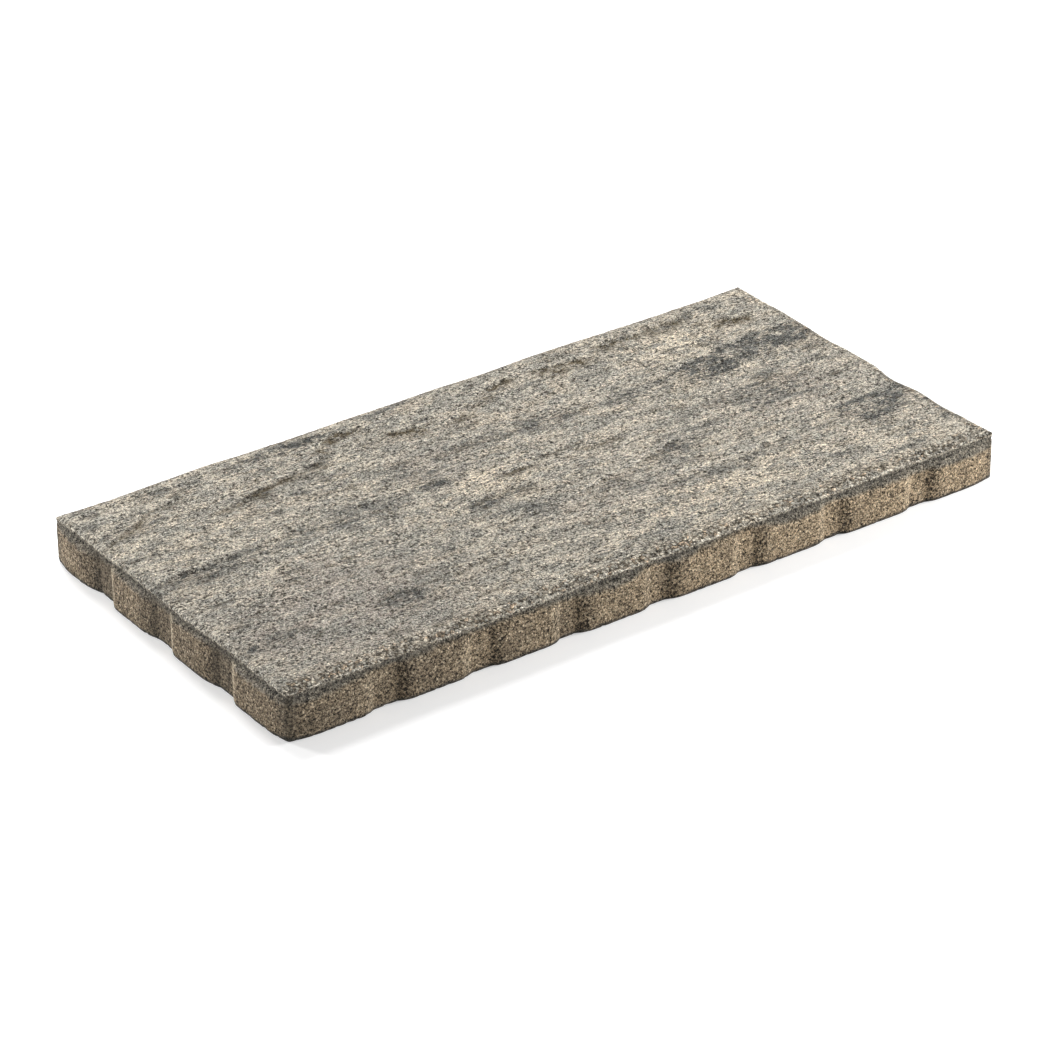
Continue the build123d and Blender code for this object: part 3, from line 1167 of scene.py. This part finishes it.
@dataclass(frozen=True)
class WallFinish:
    """The pressed walls: pitted tan base mix under the dragged charcoal face mix."""

    tan: Colour = (0.450, 0.342, 0.222)
    umber: Colour = (0.268, 0.212, 0.148)
    face_mix: Colour = (0.168, 0.153, 0.127)
    drag: Colour = (0.320, 0.280, 0.218)
    foot: Colour = (0.060, 0.060, 0.055)
    smear: Colour = (0.132, 0.110, 0.080)
    pit: Colour = (0.026, 0.018, 0.010)
    speck: Colour = (0.570, 0.480, 0.350)
    flash: Colour = (0.620, 0.570, 0.470)
    # Reach of the left-to-right shift from umber to tan, partly painted light.
    light_and_tint_reach: float = 0.40
    roughness: float = 0.94

    def material(self) -> bpy.types.Material:
        """Mix the two layers of the walls, then their stains, their painted shade and highlight, tone and
        relief.

        Returns:
            The material.
        """
        coat = Shader(bpy.data.materials.new("pressed_wall"))
        patch = coat.noise(EVEN, 2.2, 26.0, 3.0, 0.55)
        clot = coat.noise(EVEN, 4.7, 450.0, 3.0, 0.8)
        grain, gap = coat.grains(8.1, 560.0)
        sand, seam = coat.grains(3.9, 900.0)
        streak = coat.noise((1.0, 1.0, 0.07), 6.6, 520.0, 2.0)
        hollow = coat.noise(EVEN, 9.4, 400.0, 3.0, 0.75)

        # The rubbed and pitted masks carry painted highlight and painted shade on the lobes' flanks, as well
        # as smoother wear and more pits.
        rubbed, pitted, mixed = (coat.mask(mask) for mask in (Mask.RUBBED_AND_LIT, Mask.PITTED_AND_SHADED, Mask.FACE_MIX))
        along = coat.wire("ShaderNodeSeparateXYZ", {}, {"Vector": coat.place}, "X")
        # Browner towards the left and paler towards the right: partly a tint of the mix, partly painted
        # light, brighter towards the right.
        light_and_tint_along = along.above(-self.light_and_tint_reach, self.light_and_tint_reach)
        band = coat.mix((0.6 * streak + 0.4 * clot).above(0.40, 0.62), self.face_mix, self.drag)
        holes = (hollow + 0.06 * pitted - 0.03 * rubbed - 0.01 * mixed).above(0.555, 0.595)
        colour = coat.layers(
            coat.mix((0.55 * light_and_tint_along + 0.9 * patch - 0.12).above(0.1, 0.9), self.umber, self.tan),
            (0.55 * (0.6 * clot + 0.4 * grain).above(0.60, 0.72), self.speck),
            (mixed, band),
            (0.92 * holes, self.pit),
            # Dark smear at the corners, and painted shade in the left wall's groove floors.
            (0.72 * coat.mask(Mask.SMEAR), self.smear),
            # Painted shade just below the arris.
            (0.42 * coat.mask(Mask.ARRIS_SHADE), self.foot),
            # Pale rubbed flanks, partly a painted highlight where they face the light.
            (0.55 * rubbed, self.speck),
            # Painted shade on the grooves' steep flanks.
            (0.60 * coat.mask(Mask.SEAM) * clot.above(0.35, 0.60), self.pit),
            (0.85 * coat.mask(Mask.FOOT), self.foot),
            (0.75 * coat.mask(Mask.FLASH) * grain.above(0.25, 0.6), self.flash),
        )
        # Flanks facing away get painted shade and flanks facing the light a painted highlight; the grains
        # darken towards their rims, as painted shade.
        tone = 0.62 - 0.06 * pitted + 0.20 * rubbed + 0.60 * clot
        tone = tone + 1.15 * grain + 1.40 * sand - 1.25 * gap - 0.80 * seam
        relief = 0.0034 * clot - 0.0018 * gap - 0.0009 * seam - 0.0022 * holes + 0.0010 * streak
        return coat.stone(coat.shade(colour, tone), self.roughness, relief)


@dataclass(frozen=True)
class UndersideFinish:
    """The underside: flat, pressed on a board, with fine pits."""

    tan: Colour = (0.300, 0.245, 0.170)
    grey: Colour = (0.235, 0.205, 0.158)
    pit: Colour = (0.060, 0.048, 0.034)
    roughness: float = 0.94

    def material(self) -> bpy.types.Material:
        """Mix the underside's colour and pits.

        Returns:
            The material.
        """
        coat = Shader(bpy.data.materials.new("pressed_underside"))
        patch = coat.noise((1.0, 1.6, 1.0), 1.1, 11.0, 4.0)
        clot = coat.noise(EVEN, 2.9, 480.0, 3.0, 0.7)
        grain, gap = coat.grains(6.1, 470.0)
        holes = coat.noise(EVEN, 5.9, 210.0, 4.0, 0.75).above(0.58, 0.66)
        colour = coat.mix(patch.above(0.35, 0.65), self.grey, self.tan)
        colour = coat.mix(0.8 * holes, colour, self.pit)
        # The grains darken towards their rims: painted shade.
        tone = 0.65 + 0.5 * clot + 0.5 * grain - 0.3 * gap
        relief = 0.0008 * clot - 0.0014 * holes - 0.0006 * gap
        return coat.stone(coat.shade(colour, tone), self.roughness, relief)


@dataclass(frozen=True)
class Lamp:
    """One soft square lamp: where it hangs and points, in metres, its side and its power."""

    name: str
    place: Colour
    target: Colour
    size: float
    watts: float

    def hang(self) -> None:
        """Hang the lamp in the scene."""
        data = bpy.data.lights.new(self.name, "AREA")
        data.shape = "SQUARE"
        data.size = self.size
        data.energy = self.watts
        lamp = bpy.data.objects.new(self.name, data)
        lamp.location = self.place
        lamp.rotation_euler = (Vector(self.target) - Vector(self.place)).to_track_quat("-Z", "Y").to_euler()
        bpy.context.scene.collection.objects.link(lamp)


@dataclass
class Studio:
    """The plain pale room: floor, world, lamps and the camera of the photograph."""

    floor_half: float = 1500.0
    floor_drop: float = 0.2
    floor_colour: Colour = (0.80, 0.80, 0.80)
    floor_glow: float = 0.32
    white: Colour = (1.0, 1.0, 1.0)
    sky_strength: float = 0.38
    focal_px: float = 4406.6
    frame_px: float = 1050.0
    sensor: float = 36.0
    azimuth: float = -35.02
    elevation: float = 29.50
    roll: float = -0.80
    distance: float = 4114.8
    aim_right: float = -6.0
    aim_up: float = -6.6
    lamps: tuple[Lamp, ...] = (
        Lamp("key_lamp", (0.4, 1.95, 2.25), (0.0, 0.0, 0.0), 1.2, 90.0),
        Lamp("right_lamp", (1.9, -0.75, 0.8), (0.3, -0.15, 0.0), 0.7, 46.0),
        Lamp("left_lamp", (-1.15, 1.68, 0.58), (-0.35, 0.0, 0.0), 0.4, 30.6),
    )

    def floor(self) -> None:
        """Lay the pale floor, white to the camera and darker only in shadow."""
        half, low = self.floor_half * MM, -self.floor_drop * MM
        mesh = bpy.data.meshes.new("floor")
        corners = [(-half, -half, low), (half, -half, low), (half, half, low), (-half, half, low)]
        mesh.from_pydata(corners, [], [(0, 1, 2, 3)])
        floor = bpy.data.objects.new("floor", mesh)
        bpy.context.scene.collection.objects.link(floor)
        coat = Shader(bpy.data.materials.new("pale_floor"))
        pale = coat.wire("ShaderNodeBsdfDiffuse", {}, {"Color": self.floor_colour})
        glow = coat.wire("ShaderNodeEmission", {}, {"Color": self.white, "Strength": self.floor_glow})
        both = coat.wire("ShaderNodeAddShader", {}, {0: pale, 1: glow})
        shown = coat.wire("ShaderNodeMixShader", {}, {0: coat.seen(), 1: pale, 2: both})
        mesh.materials.append(coat.close(shown))

    def world(self) -> None:
        """Light the room evenly, white where it is seen."""
        coat = Shader(bpy.data.worlds.new("pale_room"), "ShaderNodeOutputWorld")
        sky = coat.wire("ShaderNodeBackground", {}, {"Color": self.white, "Strength": self.sky_strength})
        white = coat.wire("ShaderNodeBackground", {}, {"Color": self.white, "Strength": 1.0})
        room = coat.wire("ShaderNodeMixShader", {}, {0: coat.seen(), 1: sky, 2: white})
        bpy.context.scene.world = coat.close(room)

    def camera(self) -> None:
        """Set up the camera where the photograph was taken from."""
        azimuth, elevation, roll = (math.radians(turn) for turn in (self.azimuth, self.elevation, self.roll))
        level, height = math.cos(elevation), math.sin(elevation)
        back = Vector((math.sin(azimuth) * level, -math.cos(azimuth) * level, height))
        right = Vector((math.cos(azimuth), math.sin(azimuth), 0.0))
        up = back.cross(right)
        turned_right = math.cos(roll) * right + math.sin(roll) * up
        turned_up = math.cos(roll) * up - math.sin(roll) * right
        place = (back * self.distance + right * self.aim_right + up * self.aim_up) * MM
        data = bpy.data.cameras.new("photo_camera")
        data.sensor_width = self.sensor
        data.lens = self.focal_px / self.frame_px * self.sensor
        data.clip_start, data.clip_end = 0.1, 50.0
        camera = bpy.data.objects.new("photo_camera", data)
        axes = Matrix((turned_right, turned_up, back)).transposed()
        camera.matrix_world = Matrix.Translation(place) @ axes.to_4x4()
        bpy.context.scene.collection.objects.link(camera)
        bpy.context.scene.camera = camera

    def build(self) -> None:
        """Set up the room, the lamps and the camera."""
        bpy.context.scene.view_settings.view_transform = "Standard"
        self.floor()
        self.world()
        for lamp in self.lamps:
            lamp.hang()
        self.camera()


def main() -> None:
    """Build and dress the slab, then set up the room around it."""
    logging.basicConfig(level=logging.INFO)
    maker = PavingSlab()
    slab = maker.build()
    maker.dress(slab)
    LOG.info("%s: %d vertices, %d faces", slab.name, len(slab.data.vertices), len(slab.data.polygons))
    Studio().build()


if __name__ == "__main__":
    main()
